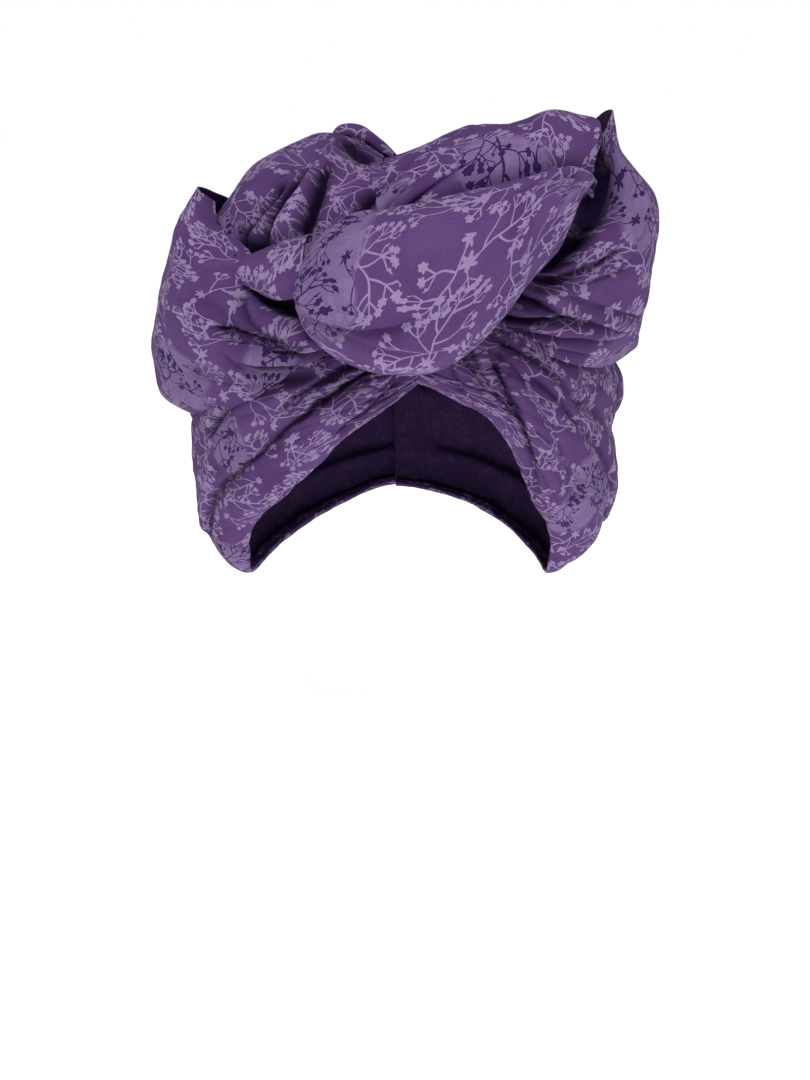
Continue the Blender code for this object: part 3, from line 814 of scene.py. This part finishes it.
def sprig_group(umbel):
    """Shader nodes: one scattered layer of branching sprigs, a sprig to a cell, each turned its own way."""
    tree = bpy.data.node_groups.new("sprigs", "ShaderNodeTree")
    interface = tree.interface
    interface.new_socket("Mask", in_out="OUTPUT", socket_type="NodeSocketFloat")
    interface.new_socket("Place", in_out="INPUT", socket_type="NodeSocketVector")
    interface.new_socket("Cells", in_out="INPUT", socket_type="NodeSocketFloat")
    interface.new_socket("Seed", in_out="INPUT", socket_type="NodeSocketFloat")
    t = Tree(tree)
    given = tree.nodes.new("NodeGroupInput").outputs
    result = tree.nodes.new("NodeGroupOutput")

    def vector(operation, *values):
        return t.node("ShaderNodeVectorMath", *values, operation=operation)

    scaled = t.node("ShaderNodeVectorMath", given["Place"], operation="SCALE")
    tree.links.new(given["Cells"], scaled.node.inputs["Scale"])
    turned = t.node("ShaderNodeVectorRotate", scaled, (0, 0, 0), rotation_type="Z_AXIS")
    tree.links.new(given["Seed"], turned.node.inputs["Angle"])
    shift = t.node("ShaderNodeCombineXYZ", given["Seed"], t.math("MULTIPLY", given["Seed"], 0.61), 0.0)
    placed = vector("ADD", turned, shift)
    cell = vector("FLOOR", placed)
    local = vector("SUBTRACT", vector("SUBTRACT", placed, cell), (0.5, 0.5, 0.0))
    seeded = vector("ADD", cell, t.node("ShaderNodeCombineXYZ", 0.0, 0.0, given["Seed"]))
    chance = t.node("ShaderNodeTexWhiteNoise", seeded, noise_dimensions="3D", output=1)
    parts = t.node("ShaderNodeSeparateXYZ", chance).node.outputs
    spun = t.node("ShaderNodeVectorRotate", local, (0, 0, 0), rotation_type="Z_AXIS")
    tree.links.new(t.math("MULTIPLY", parts[0], 2 * math.pi), spun.node.inputs["Angle"])
    spots = t.node("ShaderNodeSeparateXYZ", spun).node.outputs
    y = spots[1]
    bow = t.math("MULTIPLY", t.math("SUBTRACT", parts[1], 0.5), BOW)
    bent = t.math("MULTIPLY", bow, t.math("SUBTRACT", t.math("MULTIPLY", y, y), BOW_REST))
    x = t.math("SUBTRACT", spots[0], bent)
    aside = t.math("ABSOLUTE", x)
    stem = t.math("LESS_THAN", aside, SPRIG_LINE)
    stem = t.math("MULTIPLY", stem, t.math("GREATER_THAN", y, STEM_FOOT))
    stem = t.math("MULTIPLY", stem, t.math("LESS_THAN", y, STEM_HEAD))
    side = t.math("GREATER_THAN", x, 0.0)

    def rise_of(distance):
        squared = t.math("MULTIPLY", t.math("MULTIPLY", distance, distance), BRANCH_SWEEP)
        return t.math("ADD", t.math("MULTIPLY", distance, BRANCH_LEAN), squared)

    rise = t.math("SUBTRACT", y, rise_of(aside))
    rise = t.math("ADD", rise, t.math("MULTIPLY", side, BRANCH_STEP / 2))
    rank = t.math("ROUND", t.math("DIVIDE", t.math("ADD", rise, BRANCH_DROP), BRANCH_STEP))
    rank = t.math("MINIMUM", t.math("MAXIMUM", rank, 0.0), 1.0)
    off = t.math("SUBTRACT", t.math("ADD", rise, BRANCH_DROP), t.math("MULTIPLY", rank, BRANCH_STEP))
    reach = t.math("SUBTRACT", BRANCH_REACH, t.math("MULTIPLY", rank, BRANCH_SHORTER))
    branch = t.math("LESS_THAN", t.math("ABSOLUTE", off), SPRIG_LINE * BRANCH_BREADTH)
    branch = t.math("MULTIPLY", branch, t.math("LESS_THAN", aside, reach))
    over = t.math("SUBTRACT", aside, reach)
    up = t.math("SUBTRACT", t.math("ADD", off, rise_of(aside)), rise_of(reach))
    forward = t.math("ADD", t.math("MULTIPLY", over, TIP_OUT), t.math("MULTIPLY", up, TIP_UP))
    beside = t.math("SUBTRACT", t.math("MULTIPLY", up, TIP_OUT), t.math("MULTIPLY", over, TIP_UP))

    def umbel_at(ahead, across):
        node = tree.nodes.new("ShaderNodeGroup")
        node.node_tree = umbel
        tree.links.new(ahead, node.inputs["Along"])
        tree.links.new(across, node.inputs["Across"])
        node.inputs["Line"].default_value = SPRIG_LINE
        node.inputs["Stalk"].default_value = STALK
        node.inputs["Floret"].default_value = FLORET
        return node.outputs[0]

    tips = umbel_at(forward, beside)
    top = umbel_at(t.math("SUBTRACT", y, STEM_HEAD), x)
    above_foot = t.math("SUBTRACT", y, STEM_FOOT)
    tips = t.math("MAXIMUM", tips, flower(t, above_foot, x, FOOT_CUT, FOOT_FLOWER))
    mask = t.math("MAXIMUM", t.math("MAXIMUM", stem, branch), t.math("MAXIMUM", tips, top))
    tree.links.new(mask, result.inputs[0])
    return tree


def print_cotton():
    """The printed cotton: mottled violet with pale washes, light and dark sprigs, and a fine weave, with
    shade painted into its folds and pleats and onto its wrong side.
    """
    material = bpy.data.materials.new("print_cotton")
    material.use_nodes = True
    tree = material.node_tree
    shader = tree.nodes["Principled BSDF"]
    t = Tree(tree)
    flat = t.node("ShaderNodeUVMap", uv_map="cloth")
    drift = t.node("ShaderNodeTexNoise", flat, None, WANDER_SCALE, 1.0, output=1)
    drift = t.node("ShaderNodeVectorMath", drift, (0.5, 0.5, 0.5), operation="SUBTRACT")
    far = (WANDER, WANDER, 0.0)
    place = t.node("ShaderNodeVectorMath", drift, far, flat, operation="MULTIPLY_ADD")
    sprigs = sprig_group(umbel_group())

    def layers(rows):
        masks = []
        for row in rows:
            row = dict(zip(SPRIG_COLUMNS, row))
            node = tree.nodes.new("ShaderNodeGroup")
            node.node_tree = sprigs
            tree.links.new(place, node.inputs["Place"])
            node.inputs["Cells"].default_value = row["cells"]
            node.inputs["Seed"].default_value = row["seed"]
            masks.append(node.outputs[0])
        return t.math("MAXIMUM", *masks)

    def mix(share, first, second):
        node = tree.nodes.new("ShaderNodeMix")
        node.data_type = "RGBA"
        for value, place in ((share, 0), (first, 6), (second, 7)):
            t.put((*value, 1) if isinstance(value, tuple) else value, node.inputs[place])
        return node.outputs[2]

    def noise(scale, detail, seed):
        moved = t.node("ShaderNodeVectorMath", place, (seed, seed * 0.7, 0.0), operation="ADD")
        return t.node("ShaderNodeTexNoise", moved, None, scale, detail)

    pale = t.node("ShaderNodeAttribute", attribute_name="pale", output=2)
    patches = t.math("ADD", noise(PATCH_SCALE, 2.0, 3.0), t.math("MULTIPLY", pale, PALE_PULL))
    patches = t.node("ShaderNodeMapRange", patches, *PATCH_EDGE, 0.0, 1.0)
    mottle = noise(MOTTLE_SCALE, 4.0, 9.0)
    grain = noise(GRAIN_SCALE, 2.0, 1.0)
    mottled = t.node("ShaderNodeMapRange", mottle, *MOTTLE_EDGE, 0.0, 1.0)
    ground = mix(mottled, GROUND_DEEP, GROUND)
    ground = mix(t.math("MULTIPLY", patches, WASH_SHARE), ground, WASH)
    light = layers(LIGHT_LAYERS)
    dark = t.math("MULTIPLY", layers(DARK_LAYERS), patches)
    clear = t.math("SUBTRACT", 1.0, t.math("MULTIPLY", patches, CLEARED_SHARE))
    colour = mix(t.math("MULTIPLY", light, clear), ground, LIGHT_SPRIG)
    colour = mix(dark, colour, DARK_SPRIG)
    twill = (THREAD_SCALE, 1.2, 2.0, 1.0)
    threads = t.node("ShaderNodeTexWave", flat, *twill, bands_direction="DIAGONAL")
    lighter = t.math("MULTIPLY", threads, THREAD_SHADE)
    shade = t.math("ADD", lighter, t.math("MULTIPLY", grain, GRAIN_SHADE))
    shade = t.math("ADD", shade, LEAST_SHADE)
    # Painted shade: the dark painted into creases and between pleats, mixed towards near-black
    crease_shade = t.node("ShaderNodeAttribute", attribute_name="crease_shade", output=2)
    pleat_painted_shade = t.node("ShaderNodeAttribute", attribute_name="pleat_painted_shade", output=2)
    painted_shade = t.math("MAXIMUM", crease_shade, t.math("MULTIPLY", pleat_painted_shade, PLEAT_SHADE))
    painted_shade = t.math("MINIMUM", t.math("MAXIMUM", painted_shade, 0.0), DARKEST_PAINTED_SHADE)
    shaded = t.node("ShaderNodeVectorMath", colour, operation="SCALE")
    tree.links.new(shade, shaded.node.inputs["Scale"])
    # The wrong side of the cloth is plain and painted dark, as shade
    wrong_side = t.node("ShaderNodeAttribute", attribute_name="wrong_side", output=2)
    colour = mix(t.math("MULTIPLY", wrong_side, SHADED_WRONG_SIDE_SHARE), shaded, SHADED_WRONG_SIDE)
    tree.links.new(mix(painted_shade, colour, CREASE_SHADE), shader.inputs["Base Color"])
    bump = t.node("ShaderNodeBump")
    tree.links.new(t.math("ADD", threads, grain), bump.node.inputs["Height"])
    bump.node.inputs["Distance"].default_value = WEAVE_DEPTH
    bump.node.inputs["Strength"].default_value = WEAVE_STRENGTH
    tree.links.new(bump, shader.inputs["Normal"])
    shader.inputs["Roughness"].default_value = ROUGHNESS
    shader.inputs["Sheen Weight"].default_value = SHEEN
    shader.inputs["Sheen Roughness"].default_value = SHEEN_ROUGHNESS
    shader.inputs["Specular IOR Level"].default_value = SPECULAR
    return material


def eased(grid, passes):
    """The grid with each point drawn towards its neighbours."""
    for _ in range(passes):
        for axis in (0, 1):
            inner = np.moveaxis(grid, axis, 0)
            inner[1:-1] = inner[1:-1] / 2 + (inner[:-2] + inner[2:]) / 4
    return grid


def cloth_piece(name, section, counts, curls, folds, gathers, turned, span, rests_on):
    """One shell of the turban: its sections, folds, turned edges, gathers and cloth."""
    curls = tuple(math.radians(curl) for curl in curls)
    grid = surface_grid(section, curls, counts, *span)
    inner, crest, outer = section(np.array([0.5]))[0]
    outward = crest - (inner + outer) / 2
    shares, sizes = cloth_lengths(grid)
    normals = unit_normals(grid, outward)
    pale = pale_shares(grid, section, curls, PALE_PLACES.get(name, ()))
    grid, crease_shades = folded(grid, normals, section, curls, folds)
    grid = eased(grid, EASING_PASSES)
    normals = unit_normals(grid, outward)
    grid = turned_edges(grid, normals)
    across = padded_columns(shares[1], EDGE_STEP / sizes[1])
    along, crease_shades, pale = (carried(values) for values in (shares[0], crease_shades, pale))
    mesh = cloth_mesh(name, grid, outward, (along, across), sizes, turned, (crease_shades, pale))
    piece = gathered(mesh, "cloth_" + name, gathers, cotton)
    thickened(piece)
    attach(piece, "root")
    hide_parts(name)


def cap_grid():
    """Points of the dome over the crown, with their azimuths and their shares of the way to the rim."""
    azimuth, ring = np.meshgrid(
        np.linspace(0, 360, CAP_COUNTS[0]), np.linspace(0, 1, CAP_COUNTS[1]), indexing="ij"
    )
    front = (1 + np.cos(np.radians(azimuth))) / 2
    rim = CAP_RIM_BACK + (CAP_RIM_FRONT - CAP_RIM_BACK) * front
    level = rim * (1 - np.cos(np.pi / 2 * ring))
    grid = off_hollow(azimuth, level, CAP_STANDS * np.sin(np.pi / 2 * ring))
    grid[..., 2] += CAP_STANDS * np.cos(np.pi / 2 * ring)
    return grid, azimuth, ring


def cap_piece():
    """The cap's cloth, cut round and stretched over the crown."""
    grid, azimuth, ring = cap_grid()
    turn = np.radians(azimuth)
    shares = (ring * np.sin(turn), ring * np.cos(turn))
    plain = 0 * ring
    flat = (CAP_FLAT / 2, CAP_FLAT / 2)
    upwards = np.array((0, 0, 1.0))
    mesh = cloth_mesh("cap", grid, upwards, shares, flat, CAP_TURNED, (plain, plain))
    piece = gathered(mesh, "cloth_cap", CAP_GATHERS, cotton)
    thickened(piece)
    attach(piece, "root")
    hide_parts("cap")


def camera():
    data = bpy.data.cameras.new("view")
    data.sensor_width = SENSOR
    data.lens = LENS
    eye = bpy.data.objects.new("view", data)
    eye.location = EYE
    eye.rotation_euler = (math.radians(EYE_TILT), 0, 0)
    bpy.context.scene.collection.objects.link(eye)
    bpy.context.scene.camera = eye


def area_light(name, place, target, size, power):
    data = bpy.data.lights.new(name, "AREA")
    data.size = size
    data.energy = power
    lamp = bpy.data.objects.new(name, data)
    lamp.location = place
    direction = Vector(target) - Vector(place)
    lamp.rotation_euler = direction.to_track_quat("-Z", "Y").to_euler()
    bpy.context.scene.collection.objects.link(lamp)


def studio():
    """A white floor and world, and two soft lamps."""
    bpy.ops.mesh.primitive_plane_add(size=FLOOR_SIZE, location=(0, 0, FLOOR_LEVEL))
    floor = bpy.context.object
    floor.name = "floor"
    material = bpy.data.materials.new("pale_floor")
    material.use_nodes = True
    shader = material.node_tree.nodes["Principled BSDF"]
    shader.inputs["Base Color"].default_value = (0.9, 0.9, 0.9, 1)
    shader.inputs["Roughness"].default_value = 0.8
    shader.inputs["Emission Color"].default_value = (1, 1, 1, 1)
    shader.inputs["Emission Strength"].default_value = FLOOR_GLOW
    floor.data.materials.append(material)
    world = bpy.data.worlds.new("studio")
    bpy.context.scene.world = world
    world.use_nodes = True
    background = world.node_tree.nodes["Background"]
    background.inputs["Color"].default_value = (1, 1, 1, 1)
    t = Tree(world.node_tree)
    seen = t.node("ShaderNodeLightPath")
    strength = t.math("ADD", WORLD_LIGHT, t.math("MULTIPLY", seen, WORLD_SEEN))
    t.put(strength, background.inputs["Strength"])
    for lamp in LAMPS:
        area_light(**dict(zip(LAMP_COLUMNS, lamp)))
    bpy.context.scene.view_settings.view_transform = "Standard"


camera()
studio()
cotton = print_cotton()
gathers_group = gathers_tree()

# Each piece: its section, how many points along and across, how far its surface curls on past its
# inner and outer edge in degrees, its folds and gathers, how the print is turned on it in radians,
# the shares across between which it is made, and what it rests on
PIECE_COLUMNS = ("section", "counts", "curls", "folds", "gathers", "turned", "span", "rests_on")
PIECES = {
    "band_right": (
        band_section(BAND_RIGHT), (330, 100), (0, 0),
        BAND_RIGHT_FOLDS, BAND_RIGHT_GATHERS, 0.3, (0, 1), ["cap"],
    ),
    "band_left": (
        band_section(BAND_LEFT), (330, 100), (0, 0),
        BAND_LEFT_FOLDS, BAND_LEFT_GATHERS, 2.4, (0, 1), ["cap"],
    ),
    "knot": (
        rolled_section(KNOT), (150, 110), (14, 14),
        KNOT_FOLDS, KNOT_GATHERS, 1.1, (-0.04, 1.04), ["band_left"],
    ),
    "roll_top": (
        rolled_section(ROLL_TOP), (120, 110), (16, 0),
        ROLL_TOP_FOLDS, ROLL_TOP_GATHERS, 1.9, (-0.06, 1), ["cap"],
    ),
    "loop_right": (
        rolled_section(LOOP_RIGHT), (210, 170), (8, 0),
        LOOP_RIGHT_FOLDS, LOOP_RIGHT_GATHERS, 2.9, (-0.05, 1), ["cap"],
    ),
    "puff_left": (
        rolled_section(PUFF_LEFT), (210, 170), (8, 0),
        PUFF_LEFT_FOLDS, PUFF_LEFT_GATHERS, 0.7, (0, 1), ["cap"],
    ),
    "swirl_left": (
        rolled_section(SWIRL_LEFT), (150, 130), (8, 0),
        SWIRL_LEFT_FOLDS, SWIRL_LEFT_GATHERS, 2.1, (-0.08, 1), ["cap"],
    ),
    "crest_left": (
        rolled_section(CREST_LEFT), (90, 80), (8, 0),
        CREST_LEFT_FOLDS, CREST_LEFT_GATHERS, 1.4, (-0.1, 1), ["cap"],
    ),
    "tuck_left": (
        rolled_section(TUCK_LEFT), (60, 50), (16, 16),
        (), TUCK_LEFT_GATHERS, 0.9, (0, 1), ["puff_left"],
    ),
}

cap_piece()
for name, row in PIECES.items():
    cloth_piece(name, **dict(zip(PIECE_COLUMNS, row)))
